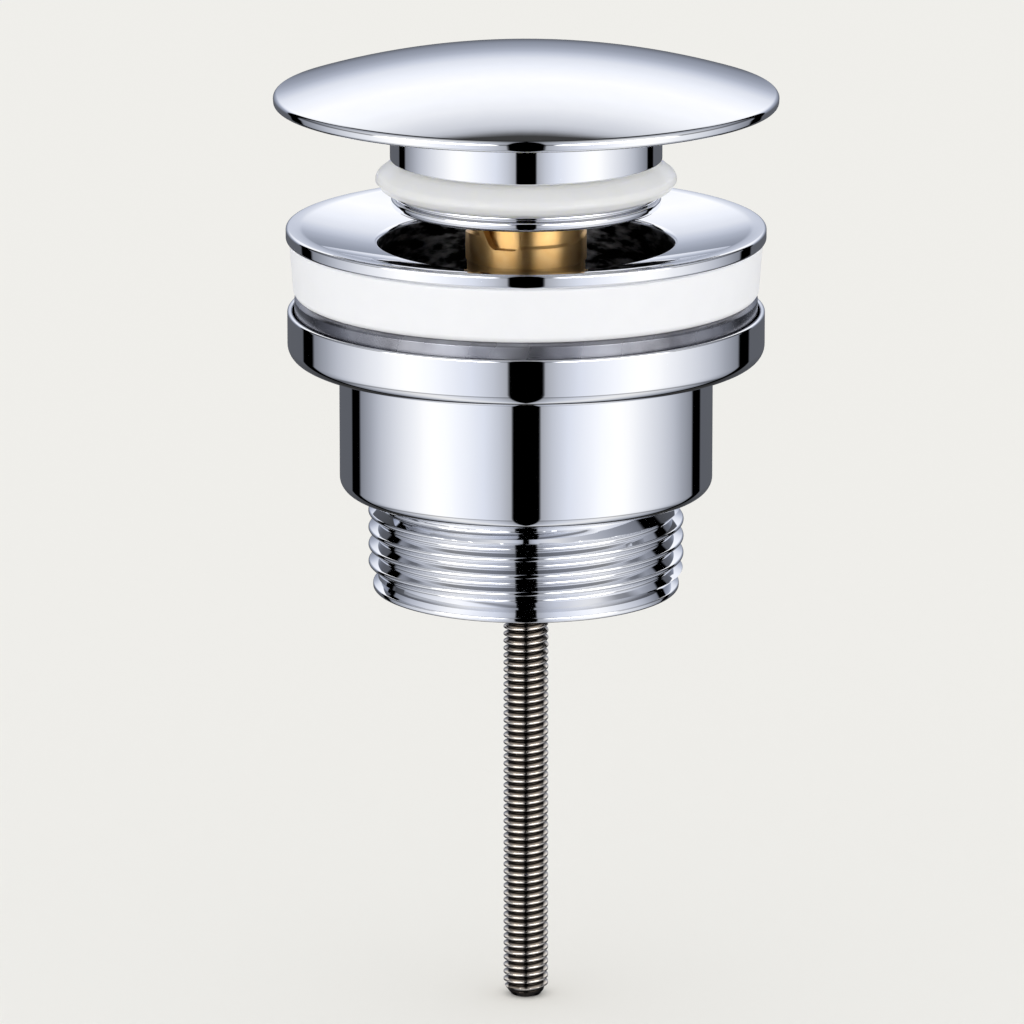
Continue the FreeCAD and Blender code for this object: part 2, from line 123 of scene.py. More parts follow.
def mottle(tree, look):
    # two close colours in soft patches; gives the patches and the colour
    extras = {key: look[key] for key in ("stretch", "detail") if key in look}
    patches = blotches(tree, look["grain"], **extras)
    if "contrast" in look:
        low, high = look["contrast"]
        patches = addNode(
            tree, "ShaderNodeMapRange", None, {"Value": patches, "From Min": low, "From Max": high}
        ).outputs["Result"]
    first, second = (linearColour(colour) for colour in look["colours"])
    tint = addNode(
        tree, "ShaderNodeMix", {"data_type": "RGBA"}, {"Factor": patches, mixFirst: first, mixSecond: second}
    )
    return patches, tint.outputs[mixResult]


def layFinish(name, uniform, look):
    # what the finishes share: patches that carry two colours and a range of roughness, and a relief, whose
    # depth is in millimetres and which follows lathe rings, a grain of its own or the patches
    material = newMaterial(name, uniform)
    tree = material.node_tree
    shader = tree.nodes["Principled BSDF"]
    patches, tint = mottle(tree, look)
    tree.links.new(tint, shader.inputs["Base Color"])
    if "roughness" in look:
        smooth, rough = look["roughness"]
        roughness = addNode(
            tree, "ShaderNodeMapRange", None, {"Value": patches, "To Min": smooth, "To Max": rough}
        )
        tree.links.new(roughness.outputs["Result"], shader.inputs["Roughness"])
    if "depth" in look:
        height = patches
        if "rings" in look:
            height = turningMarks(tree, look["rings"])
        elif "reliefGrain" in look:
            height = blotches(tree, look["reliefGrain"])
        bump = addNode(tree, "ShaderNodeBump", None, {
            "Strength": bumpStrength, "Distance": look["depth"] * mm, "Height": height,
        })
        tree.links.new(bump.outputs["Normal"], shader.inputs["Normal"])
    return material


def coverNearAxis(material, near, far, cover):
    # lays a second colour over the finish within the near radius, down to none beyond the far one, in
    # millimetres; gives the share of that cover
    tree = material.node_tree
    baseColour = tree.nodes["Principled BSDF"].inputs["Base Color"]
    flat = objectPoint(tree, (1, 1, 0))
    radius = addNode(tree, "ShaderNodeVectorMath", {"operation": "LENGTH"}, {0: flat}).outputs["Value"]
    share = addNode(tree, "ShaderNodeMapRange", None, {
        "Value": radius, "From Min": near * mm, "From Max": far * mm, "To Min": 1.0, "To Max": 0.0,
    }).outputs["Result"]
    mixed = addNode(tree, "ShaderNodeMix", {"data_type": "RGBA"}, {
        "Factor": share, mixFirst: baseColour.links[0].from_socket, mixSecond: cover,
    })
    tree.links.new(mixed.outputs[mixResult], baseColour)
    return share


chromePlate = {"colours": ("F4F5F9", "F9FAFC"), "grain": 2.5, "stretch": (1, 1, 0.2)}


def makeChrome():
    # Chromium plate on buffed brass: a near mirror, with a cold tint and the faint haze that buffing leaves
    return layFinish("chromePlateBuffed", {"Metallic": 1.0}, {**chromePlate, "roughness": (0.015, 0.035)})


def makeFlangeChromePaintedBoreShade():
    # The same plate on the flange; inside the bore its colour is painted shade, near black with lighter
    # random smudges, and the surface there is rougher
    bore = {
        "colours": ("070707", "B4B4B8"), "grain": 3.4, "stretch": (1, 1, 3.0), "detail": 5.0,
        "contrast": (0.46, 0.76), "near": 19.52, "far": 19.6, "plateRoughness": 0.02, "roughness": 0.45,
    }
    material = layFinish("chromePlatePaintedBoreShade", {"Metallic": 1.0}, chromePlate)
    tree = material.node_tree
    # painted shade: a near-black colour with lighter smudges, laid over the plate within the bore
    cast = mottle(tree, bore)[1]
    boreShadeShare = coverNearAxis(material, bore["near"], bore["far"], cast)
    roughness = addNode(tree, "ShaderNodeMapRange", None, {
        "Value": boreShadeShare, "To Min": bore["plateRoughness"], "To Max": bore["roughness"],
    })
    tree.links.new(roughness.outputs["Result"], tree.nodes["Principled BSDF"].inputs["Roughness"])
    return material


def makeBrass():
    # Free-cutting brass, turned and left bare: warm and bright, its rings stretch each reflection upright
    uniform = {"Metallic": 1.0, "Anisotropic": 0.85, "Anisotropic Rotation": 0.25}
    return layFinish("brassTurned", uniform, {
        "colours": ("EEB668", "FBD596"), "grain": 1.8, "roughness": (0.34, 0.42), "rings": 0.22,
        "depth": 0.001,
    })


def makeNickelSteel():
    # Nickel-plated steel rod with a rolled thread: warmer and duller than chrome, with a dark shade painted
    # into the thread roots
    rootShade = {"colour": "2B2622", "near": 2.5, "far": 2.85}
    material = layFinish("nickelSteelRolled", {"Metallic": 1.0}, {
        "colours": ("CFC6BC", "E2DAD0"), "grain": 0.8, "roughness": (0.10, 0.18), "reliefGrain": 0.15,
        "depth": 0.002,
    })
    # painted shade: a dark brown colour laid into the thread roots, fading out towards the crests
    coverNearAxis(material, rootShade["near"], rootShade["far"], linearColour(rootShade["colour"]))
    return material


def makeSatinSteel():
    # Zinc-grey steel ring, bead blasted and then turned: soft, smudged reflections in mid grey
    return layFinish("satinSteelBlasted", {"Metallic": 1.0}, {
        "colours": ("6E6E75", "A6A7AE"), "grain": 8.0, "stretch": (1, 1, 0.8), "contrast": (0.3, 0.7),
        "roughness": (0.2, 0.32), "reliefGrain": 0.25, "depth": 0.003,
    })


def makeSpringSteel():
    # Drawn stainless wire and stamped washers: fine lines along the drawing
    return layFinish("springSteelDrawn", {"Metallic": 1.0}, {
        "colours": ("B4B5B8", "CDCED0"), "grain": 0.3, "stretch": (1, 1, 6), "roughness": (0.2, 0.35),
        "depth": 0.002,
    })


def makeWhiteRubber():
    # White moulded rubber: dull, very slightly cold, with a fine moulded grain
    uniform = {
        "Metallic": 0.0, "IOR": 1.5, "Roughness": 0.5, "Subsurface Weight": 0.15,
        "Subsurface Radius": (0.001, 0.001, 0.0012), "Subsurface Scale": 0.5,
    }
    return layFinish("whiteRubberMoulded", uniform, {
        "colours": ("F0F1F5", "F4F5F9"), "grain": 3.0, "reliefGrain": 0.3, "depth": 0.004,
    })


def makeClearSilicone():
    # Moulded silicone: milky and translucent, so light that enters it comes out softened a little way off
    uniform = {
        "Metallic": 0.0, "IOR": 1.41, "Roughness": 0.25, "Transmission Weight": 0.04,
        "Subsurface Weight": 0.9, "Subsurface Radius": (0.0025, 0.0025, 0.003), "Subsurface Scale": 1.0,
    }
    return layFinish("siliconeMouldedClear", uniform, {
        "colours": ("F6F9FF", "FCFDFF"), "grain": 2.0, "reliefGrain": 0.5, "depth": 0.004,
    })


def makeBlackRubber():
    # Moulded nitrile rubber: black, with a dull bloom
    return layFinish("nitrileMoulded", {"Metallic": 0.0, "IOR": 1.5}, {
        "colours": ("141414", "242425"), "grain": 0.8, "roughness": (0.4, 0.6), "reliefGrain": 0.2,
        "depth": 0.004,
    })


def makeFibre():
    # Vulcanised fibre, stamped: brown-red and matt, with short fibres
    return layFinish("vulcanisedFibreStamped", {"Metallic": 0.0, "IOR": 1.5, "Roughness": 0.7}, {
        "colours": ("7A3B28", "995540"), "grain": 0.3, "stretch": (1, 5, 1), "depth": 0.006,
    })


finishes = {
    "polished_chrome": makeChrome(),
    "flange_chrome": makeFlangeChromePaintedBoreShade(),
    "brass": makeBrass(),
    "nickel_steel": makeNickelSteel(),
    "satin_steel": makeSatinSteel(),
    "spring_steel": makeSpringSteel(),
    "white_rubber": makeWhiteRubber(),
    "clear_silicone": makeClearSilicone(),
    "black_rubber": makeBlackRubber(),
    "fibre": makeFibre(),
}
slotOfNode = {part["node"]: part["material_slot"] for part in frame["record"]["subparts"]}
for nodeName, nodeObject in frame["nodes"].items():
    nodeObject.data.materials.clear()
    nodeObject.data.materials.append(finishes[slotOfNode[nodeName]])
print("materials made:", len(finishes))


# Modelling helpers. Sizes are in millimetres: a corner is (radius, height) or (radius, height, rounding).

def deselectAll():
    bpy.ops.object.select_all(action="DESELECT")


def activate(piece):
    deselectAll()
    piece.select_set(True)
    bpy.context.view_layer.objects.active = piece


def drawPath(name, places, closed):
    # a plane merged to one point is the pen that draws a line of edges; it stays in edit mode
    deselectAll()
    bpy.ops.mesh.primitive_plane_add(size=mm)
    piece = bpy.context.object
    piece.name = name
    bpy.ops.object.mode_set(mode="EDIT")
    bpy.ops.mesh.select_all(action="SELECT")
    bpy.ops.mesh.merge(type="CENTER")
    bpy.ops.transform.translate(value=places[0])
    path = places + places[:1] if closed else places
    for here, there in zip(path, path[1:]):
        bpy.ops.mesh.extrude_region_move(TRANSFORM_OT_translate={"value": there - here})
    bpy.ops.mesh.select_all(action="SELECT")
    bpy.ops.mesh.remove_doubles(threshold=weld)
    return piece


def drawOutline(name, corners, closed=True):
    # half of a section, in the plane that holds the axis
    places = [Vector((corner[0], 0, corner[1])) * mm for corner in corners]
    piece = drawPath(name, places, closed)
    for i, corner in enumerate(corners):
        if len(corner) == 3:
            ahead = places[(i + 1) % len(places)] - places[i]
            back = places[i - 1] - places[i]
            reach = corner[2] * mm / math.tan(ahead.angle(back) / 2)
            roundCorner(piece, places[i], reach, corner[2])
    return piece


def roundCorner(piece, place, reach, rounding):
    bpy.ops.mesh.select_all(action="DESELECT")
    mesh = bmesh.from_edit_mesh(piece.data)
    nearest = min(mesh.verts, key=lambda vertex: (vertex.co - place).length)
    nearest.select = True
    bmesh.update_edit_mesh(piece.data)
    segments = next(faces for above, faces in cornerFaces if rounding > above)
    bpy.ops.mesh.bevel(offset=reach, segments=segments, affect="VERTICES", offset_type="OFFSET")


def turn(piece, steps=roundSteps):
    # spins the outline about the axis and closes the seam and the poles
    bpy.ops.mesh.select_all(action="SELECT")
    bpy.ops.mesh.spin(steps=steps, angle=fullTurn, center=(0, 0, 0), axis=(0, 0, 1))
    bpy.ops.mesh.select_all(action="SELECT")
    bpy.ops.mesh.remove_doubles(threshold=weld)
    bpy.ops.mesh.normals_make_consistent(inside=False)
    bpy.ops.object.mode_set(mode="OBJECT")
    return piece


def swing(piece, degrees):
    # turns the mesh about the axis; the sign is the one that holds where Blender has no window
    activate(piece)
    bpy.ops.object.mode_set(mode="EDIT")
    bpy.ops.mesh.select_all(action="SELECT")
    bpy.ops.transform.rotate(value=math.radians(degrees), orient_axis="Z", center_override=(0, 0, 0))
    bpy.ops.object.mode_set(mode="OBJECT")


def arcPoints(first, through, last, count):
    # points from first to last, both left out, on the arc through a third
    (ax, ay), (bx, by), (cx, cy) = first, through, last
    aa, bb, cc = ax * ax + ay * ay, bx * bx + by * by, cx * cx + cy * cy
    d = 2 * (ax * (by - cy) + bx * (cy - ay) + cx * (ay - by))
    ux = (aa * (by - cy) + bb * (cy - ay) + cc * (ay - by)) / d
    uy = (aa * (cx - bx) + bb * (ax - cx) + cc * (bx - ax)) / d
    radius = math.hypot(ax - ux, ay - uy)
    start, middle, end = (math.atan2(y - uy, x - ux) for x, y in (first, through, last))
    sweep = (end - start) % fullTurn
    if (middle - start) % fullTurn > sweep:
        sweep -= fullTurn
    angles = [start + sweep * i / (count + 1) for i in range(1, count + 1)]
    return [(ux + radius * math.cos(a), uy + radius * math.sin(a)) for a in angles]


def applyModifier(piece, kind, settings):
    activate(piece)
    bpy.ops.object.modifier_add(type=kind)
    modifier = piece.modifiers[-1]
    for key, value in settings.items():
        setattr(modifier, key, value)
    bpy.ops.object.modifier_apply(modifier=modifier.name)


def combine(piece, tool, operation):
    # one solid from two; the tool is used up
    applyModifier(piece, "BOOLEAN", {"operation": operation, "object": tool, "solver": "EXACT"})
    bpy.data.objects.remove(tool)


def joinOpen(piece, other):
    # two open shells whose edges meet point on point become one
    activate(piece)
    other.select_set(True)
    bpy.ops.object.join()
    bpy.ops.object.mode_set(mode="EDIT")
    bpy.ops.mesh.select_all(action="SELECT")
    bpy.ops.mesh.remove_doubles(threshold=weld)
    bpy.ops.mesh.normals_make_consistent(inside=False)
    bpy.ops.object.mode_set(mode="OBJECT")


def cutThread(name, thread):
    # a helical ridge from a one-pitch outline, trimmed to cones so that each of its ends is a plain circle
    pitch, root, crest = thread["pitch"], thread["rootRadius"], thread["crestRadius"]
    flat = pitch * thread["crestShare"] / 2
    valley = pitch * thread["rootShare"] / 2
    start = thread["bottom"] - 2 * pitch  # two turns low, so that the trimmed end is full all round
    turns = math.ceil((thread["top"] - start) / pitch) + 1
    piece = drawOutline(name, [
        (root, start),
        (root, start + valley, thread["rootRounding"]),
        (crest, start + pitch / 2 - flat, thread["crestRounding"]),
        (crest, start + pitch / 2 + flat, thread["crestRounding"]),
        (root, start + pitch - valley, thread["rootRounding"]),
        (root, start + pitch),
    ], closed=False)
    bpy.ops.object.mode_set(mode="OBJECT")
    applyModifier(piece, "SCREW", {
        "angle": fullTurn, "screw_offset": pitch * mm, "iterations": turns, "steps": thread["steps"],
        "render_steps": thread["steps"], "use_merge_vertices": False, "axis": "Z",
    })
    slope = thread["endSlope"]
    for vertex in piece.data.vertices:
        radius = math.hypot(vertex.co.x, vertex.co.y)
        height = min(max(vertex.co.z, thread["bottom"] * mm), thread["top"] * mm)
        lowCone = thread["bottomRadius"] * mm + (height - thread["bottom"] * mm) / slope
        highCone = thread["topRadius"] * mm + (thread["top"] * mm - height) / slope
        share = min(radius, lowCone, highCone) / radius
        vertex.co = (vertex.co.x * share, vertex.co.y * share, height)
    bpy.ops.object.mode_set(mode="EDIT")
    bpy.ops.mesh.select_all(action="SELECT")
    bpy.ops.mesh.remove_doubles(threshold=weld)
    bpy.ops.object.mode_set(mode="OBJECT")
    return piece


armAngles = (45, 135, 225, 315)
armBevel = 0.25  # of an arm's width
armSegments = 4


def armSet(name, arms):
    # four straight arms at the diagonals, their upper edges bevelled
    pieces = []
    for angle in armAngles:
        deselectAll()
        bpy.ops.mesh.primitive_cube_add(size=1)
        arm = bpy.context.object
        arm.name = name
        bpy.ops.object.mode_set(mode="EDIT")
        bpy.ops.mesh.select_all(action="SELECT")
        size = Vector((arms["outer"] - arms["inner"], arms["width"], arms["height"])) * mm
        bpy.ops.transform.resize(value=size)
        middle = Vector(((arms["inner"] + arms["outer"]) / 2, 0, arms["bottom"] + arms["height"] / 2)) * mm
        bpy.ops.transform.translate(value=middle)
        bpy.ops.mesh.select_all(action="DESELECT")
        mesh = bmesh.from_edit_mesh(arm.data)
        for edge in mesh.edges:
            ends = [vertex.co for vertex in edge.verts]
            alongArm = abs(ends[0].x - ends[1].x) > weld
            edge.select = alongArm and min(end.z for end in ends) > middle.z
        bmesh.update_edit_mesh(arm.data)
        bpy.ops.mesh.bevel(offset=arms["width"] * armBevel * mm, segments=armSegments)
        bpy.ops.object.mode_set(mode="OBJECT")
        swing(arm, angle)
        pieces.append(arm)
    activate(pieces[0])
    for arm in pieces[1:]:
        arm.select_set(True)
    bpy.ops.object.join()
    return pieces[0]


def dress(piece, body, nodes, slot, smoothAngle=32, finish=None):
    # smooths the piece, keeps its flat faces flat, and sets it on its body in place of the CAD nodes
    activate(piece)
    bpy.ops.object.shade_smooth_by_angle(angle=math.radians(smoothAngle))
    applyModifier(piece, "WEIGHTED_NORMAL", {"mode": "FACE_AREA", "weight": 50, "keep_sharp": True})
    piece.data.materials.clear()
    piece.data.materials.append(finishes[finish or slot])
    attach(piece, body)
    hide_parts(*nodes)
    print("made", piece.name, "faces", len(piece.data.polygons))


# Plug cap: a spun dome with a rolled rim, and a seat and a threaded socket inside

cap = {
    "top": 24.95, "edgeRadius": 33.3, "edgeLevel": 19.5, "edgeRounding": 0.7, "edgeWidth": 1.4,
    "footRadius": 33.2, "footLevel": 18.1, "footRounding": 0.45, "lipInner": 31.6, "lipRounding": 0.1,
    "wall": 1.6, "seatOuter": 19.43, "seatInner": 16.43, "seatLevel": 18.3, "innerRounding": 0.2,
    "socketRadius": 6.0, "socketLevel": 21.5, "threadRadius": 3.05, "threadTop": 22.6,
    "outerPoints": 24, "innerPoints": 6,
}


def domePoints(fromRadius, toRadius, count, depth=0.0):
    # points on the dome, or on a dome that lies depth below it
    rise = cap["top"] - cap["edgeLevel"]
    sphere = (cap["edgeRadius"] ** 2 + rise ** 2) / (2 * rise)
    centre = cap["top"] - sphere
    radii = [fromRadius + (toRadius - fromRadius) * i / count for i in range(count + 1)]
    return [(radius, centre + math.sqrt((sphere - depth) ** 2 - radius ** 2)) for radius in radii]


capPiece = drawOutline("domedCap", [
    *domePoints(0.0, cap["edgeRadius"] - cap["edgeWidth"], cap["outerPoints"]),
    (cap["edgeRadius"], cap["edgeLevel"], cap["edgeRounding"]),
    (cap["footRadius"], cap["footLevel"], cap["footRounding"]),
    (cap["lipInner"], cap["footLevel"], cap["lipRounding"]),
    *domePoints(cap["lipInner"], cap["seatOuter"], cap["innerPoints"], cap["wall"]),
    (cap["seatOuter"], cap["seatLevel"], cap["innerRounding"]),
    (cap["seatInner"], cap["seatLevel"], cap["innerRounding"]),
    *domePoints(cap["seatInner"], cap["socketRadius"], cap["innerPoints"], cap["wall"]),
    (cap["socketRadius"], cap["socketLevel"], cap["innerRounding"]),
    (cap["threadRadius"], cap["socketLevel"], cap["innerRounding"]),
    (cap["threadRadius"], cap["threadTop"]),
    (0.0, cap["threadTop"]),
], closed=False)
dress(turn(capPiece), "plug", ["plug_cap"], "polished_chrome")


# Plug boss, lip seal and grooved retainer

boss = {
    "radius": 17.93, "inner": 14.23, "bottom": 10.74, "top": 18.3, "spigot": 16.38, "spigotTop": 21.0,
    "footRounding": 0.25, "spigotRounding": 0.3,
}
bossPiece = drawOutline("plugBoss", [
    (boss["inner"], boss["bottom"]),
    (boss["radius"], boss["bottom"], boss["footRounding"]),
    (boss["radius"], boss["top"]),
    (boss["spigot"], boss["top"]),
    (boss["spigot"], boss["spigotTop"], boss["spigotRounding"]),
    (boss["inner"], boss["spigotTop"], boss["spigotRounding"]),
])
dress(turn(bossPiece), "plug", ["plug_boss"], "polished_chrome")

seal = {
    "inner": 14.23, "root": 17.58, "bottom": 6.4, "top": 10.74, "rootRounding": 0.2,
    "underLip": (19.15, 7.0, 1.0), "tip": (19.95, 8.0, 0.6), "overLip": (19.65, 8.8, 0.8),
    "shoulder": (17.93, 10.19, 1.0), "neck": (17.43, 10.74, 0.15),
}
sealPiece = drawOutline("lipSeal", [
    (seal["inner"], seal["bottom"]),
    (seal["root"], seal["bottom"], seal["rootRounding"]),
    seal["underLip"],
    seal["tip"],
    seal["overLip"],
    seal["shoulder"],
    seal["neck"],
    (seal["inner"], seal["top"]),
])
dress(turn(sealPiece), "plug", ["plug_seal"], "clear_silicone")

retainer = {
    "radius": 17.8, "bottom": 4.5, "top": 6.4, "lipTop": 5.75, "grooveTop": 6.05, "waist": 17.2,
    "upperRadius": 17.7, "bore": 8.08, "hubRadius": 14.18, "hubTop": 16.0, "pocket": 11.0,
    "pocketFloor": 8.2, "grooveLevel": 10.75, "grooveEnd": 11.65, "grooveRadius": 11.6,
    "boreRounding": 0.35, "rimRounding": 0.5, "lipRounding": 0.3, "upperRounding": 0.08, "hubRounding": 0.3,
}
retainerPiece = drawOutline("groovedRetainer", [
    (retainer["bore"], retainer["bottom"], retainer["boreRounding"]),
    (retainer["radius"], retainer["bottom"], retainer["rimRounding"]),
    (retainer["radius"], retainer["lipTop"], retainer["lipRounding"]),
    (retainer["waist"], retainer["lipTop"]),
    (retainer["waist"], retainer["grooveTop"]),
    (retainer["upperRadius"], retainer["grooveTop"], retainer["upperRounding"]),
    (retainer["upperRadius"], retainer["top"], retainer["upperRounding"]),
    (retainer["hubRadius"], retainer["top"]),
    (retainer["hubRadius"], retainer["hubTop"], retainer["hubRounding"]),
    (retainer["pocket"], retainer["hubTop"], retainer["hubRounding"]),
    (retainer["pocket"], retainer["grooveEnd"]),
    (retainer["grooveRadius"], retainer["grooveEnd"]),
    (retainer["grooveRadius"], retainer["grooveLevel"]),
    (retainer["pocket"], retainer["grooveLevel"]),
    (retainer["pocket"], retainer["pocketFloor"]),
    (retainer["bore"], retainer["pocketFloor"]),
])
dress(turn(retainerPiece), "plug", ["seal_retainer"], "polished_chrome")
print("plug pieces made")


# Top flange: dished rim, rounded throat, grooved skirt, and the spider that carries the hub

flange = {
    "radius": 31.7, "crest": 1.8, "rimRounding": 0.4, "crestRadius": 30.05, "crestRounding": 0.39,
    "dishSag": 0.15, "dishPoints": 18, "throat": 19.5, "throatLevel": -0.25, "throatRounding": 0.75,
    "skirt": 21.9, "skirtEnd": -16.0, "innerEndRounding": 0.3, "outerEndRounding": 0.5,
    "landRadius": 28.0, "undersideLevel": -1.8, "grooveBottom": 20.35,
    "grooves": [(-10.2, -12.4), (-13.1, -15.3)], "grooveEdge": 0.1, "grooveFillet": 0.2,
    "hubRadius": 8.4, "hubTop": -5.0, "hubBottom": -15.5, "hubRounding": 0.6,
    "hubBore": 5.05, "hubFloor": -12.5, "boreRounding": 0.3, "screwHole": 3.08, "holeRounding": 0.2,
    "armOverlap": 0.5, "armWidth": 2.6, "armBottom": -15.0, "armHeight": 5.0,
}
dishStart = (flange["crestRadius"], flange["crest"])
dishEnd = (flange["throat"], flange["throatLevel"])
dishMiddle = (
    (dishStart[0] + dishEnd[0]) / 2,
    (dishStart[1] + dishEnd[1]) / 2 - flange["dishSag"],
)
grooveCorners = []
for high, low in reversed(flange["grooves"]):
    grooveCorners += [
        (flange["skirt"], low, flange["grooveEdge"]),
        (flange["grooveBottom"], low, flange["grooveFillet"]),
        (flange["grooveBottom"], high, flange["grooveFillet"]),
        (flange["skirt"], high, flange["grooveEdge"]),
    ]
flangePiece = drawOutline("topFlange", [
    (flange["radius"], 0.0, flange["rimRounding"]),
    (flange["radius"], flange["crest"], flange["crestRounding"]),
    dishStart,
    *arcPoints(dishStart, dishMiddle, dishEnd, flange["dishPoints"]),
    (*dishEnd, flange["throatRounding"]),
    (flange["throat"], flange["skirtEnd"], flange["innerEndRounding"]),
    (flange["skirt"], flange["skirtEnd"], flange["outerEndRounding"]),
    *grooveCorners,
    (flange["skirt"], flange["undersideLevel"]),
    (flange["landRadius"], 0.0),
])
turn(flangePiece)
hubPiece = drawOutline("flangeHub", [
    (flange["hubBore"], flange["hubFloor"]),
    (flange["hubBore"], flange["hubTop"], flange["boreRounding"]),
    (flange["hubRadius"], flange["hubTop"], flange["hubRounding"]),
    (flange["hubRadius"], flange["hubBottom"], flange["hubRounding"]),
    (flange["screwHole"], flange["hubBottom"], flange["holeRounding"]),
    (flange["screwHole"], flange["hubFloor"]),
])
turn(hubPiece, hubSteps)
spiderArms = armSet("spiderArms", {
    "inner": flange["hubRadius"] - flange["armOverlap"], "outer": flange["throat"] + flange["armOverlap"],
    "width": flange["armWidth"], "bottom": flange["armBottom"], "height": flange["armHeight"],
})
combine(flangePiece, spiderArms, "UNION")
combine(flangePiece, hubPiece, "UNION")
dress(flangePiece, "flange", ["top_flange"], "polished_chrome", finish="flange_chrome")


# Brass guide core with its two milled cam tracks

core = {
    "radius": 8.0, "top": 13.4, "bottom": -2.6, "neckRadius": 7.8, "seat": -4.5, "studRadius": 5.0,
    "studEnd": -8.1, "bore": 5.1, "boreFloor": -1.0, "chamfer": 0.15, "boreRounding": 0.2,
}
# Angles are in degrees. The outline is the pocket's, as (across, up) on the front of the core, and the level
# recess beside it goes over into a ramp.
track = {
    "pocketAngle": -27.0, "pocketDepth": 1.3, "pocketRounding": 0.25, "pocketSegments": 3,
    "floorBottom": -2.0, "floorTop": 20.0, "top": 11.0, "clear": 1.0, "overlap": 0.01, "stepAngle": 1.5,
    "recessDepth": 0.35, "recessFloor": 0.05, "recessFillet": 0.5, "footDrop": 1.0,
    "recessStart": -6.0, "rampStart": 47.0, "rampEnd": 130.0, "rampSlope": 0.16,
    "outline": [
        (-0.8, -0.1), (2.2, -0.1), (2.8, 0.45), (2.8, 0.95), (2.0, 1.6), (1.95, 2.7), (1.2, 3.9),
        (0.15, 5.4), (-1.78, 9.5), (-2.03, 11.0), (-3.88, 11.0), (-4.38, 10.2), (-3.1, 3.4), (-1.5, 0.45),
    ],
}
corePiece = drawOutline("guideCore", [
    (0.0, core["studEnd"]),
    (core["studRadius"], core["studEnd"], core["chamfer"]),
    (core["studRadius"], core["seat"]),
    (core["neckRadius"], core["seat"]),
    (core["neckRadius"], core["bottom"]),
    (core["radius"], core["bottom"], core["chamfer"]),
    (core["radius"], core["top"], core["chamfer"]),
    (core["bore"], core["top"], core["boreRounding"]),
    (core["bore"], core["boreFloor"]),
    (0.0, core["boreFloor"]),
], closed=False)
turn(corePiece, coreSteps)


def recessCutter(firstAngle, lastAngle):
    # part of a ring, angles counted from the front towards +X; its foot slopes down and outwards
    inner = core["radius"] - track["recessDepth"]
    outer = core["radius"] + track["clear"]
    piece = drawOutline("recessCutter", [
        (inner, track["recessFloor"] + track["recessFillet"]),
        (outer, track["recessFloor"] - track["footDrop"]),
        (outer, track["top"]),
        (inner, track["top"]),
    ])
    bpy.ops.mesh.select_all(action="SELECT")
    bpy.ops.mesh.edge_face_add()
    steps = round((lastAngle - firstAngle) / track["stepAngle"])
    sweep = math.radians(lastAngle - firstAngle)
    bpy.ops.mesh.spin(steps=steps, angle=-sweep, center=(0, 0, 0), axis=(0, 0, 1))
    bpy.ops.mesh.select_all(action="SELECT")
    bpy.ops.mesh.remove_doubles(threshold=weld)
    bpy.ops.mesh.normals_make_consistent(inside=False)
    bpy.ops.object.mode_set(mode="OBJECT")
    swing(piece, 90 - firstAngle)
    return piece


def rampCutter():
    # the same, with its foot climbing along the ramp
    piece = recessCutter(track["rampStart"] - track["overlap"], track["rampEnd"])
    middle = (track["recessFloor"] + track["top"]) / 2
    turnBack = math.radians(90 - track["rampStart"])
    for vertex in piece.data.vertices:
        if vertex.co.z < middle * mm:
            angle = math.atan2(vertex.co.y, vertex.co.x) + turnBack
            along = math.hypot(vertex.co.x, vertex.co.y) * math.sin(angle)
            vertex.co.z += along * track["rampSlope"]
    return piece


def pocketCutter():
    # the pocket's outline is drawn before the front of the core and pushed in to its curved floor
    front = -core["radius"] - track["clear"]
    places = [Vector((across, front, up)) * mm for across, up in track["outline"]]
    piece = drawPath("pocketCutter", places, closed=True)
    bpy.ops.mesh.bevel(
        offset=track["pocketRounding"] * mm, segments=track["pocketSegments"], affect="VERTICES",
        offset_type="OFFSET",
    )
    bpy.ops.mesh.select_all(action="SELECT")
    bpy.ops.mesh.edge_face_add()
    bpy.ops.mesh.extrude_region_move(TRANSFORM_OT_translate={"value": (0, core["radius"] * mm, 0)})
    bpy.ops.mesh.select_all(action="SELECT")
    bpy.ops.mesh.normals_make_consistent(inside=False)
    bpy.ops.object.mode_set(mode="OBJECT")
    floorRadius = core["radius"] - track["pocketDepth"]
    floorDrum = drawOutline("pocketFloor", [
        (0.0, track["floorBottom"]), (floorRadius, track["floorBottom"]),
        (floorRadius, track["floorTop"]), (0.0, track["floorTop"]),
    ], closed=False)
    turn(floorDrum, coreSteps)
    combine(piece, floorDrum, "DIFFERENCE")
    swing(piece, -track["pocketAngle"])
    return piece


for trackAngle in (0, 180):
    for cutter in (pocketCutter(), recessCutter(track["recessStart"], track["rampStart"]), rampCutter()):
        swing(cutter, trackAngle)
        combine(corePiece, cutter, "DIFFERENCE")
dress(corePiece, "flange", ["guide_core"], "brass")
print("flange pieces made")


# White basin gasket and the grey ring it sits on

gasket = {
    "bore": 22.7, "foot": 30.7, "radius": 31.25, "bottom": -7.4, "top": -0.1, "land": 28.0,
    "innerTop": -1.664, "boreRounding": 0.3, "footRounding": 1.0, "topRounding": 0.4,
}
gasketPiece = drawOutline("basinGasket", [
    (gasket["bore"], gasket["bottom"], gasket["boreRounding"]),
    (gasket["foot"], gasket["bottom"], gasket["footRounding"]),
    (gasket["radius"], gasket["top"], gasket["topRounding"]),
    (gasket["land"], gasket["top"]),
    (gasket["bore"], gasket["innerTop"], gasket["boreRounding"]),
])
dress(turn(gasketPiece), "under_body", ["basin_gasket"], "white_rubber")

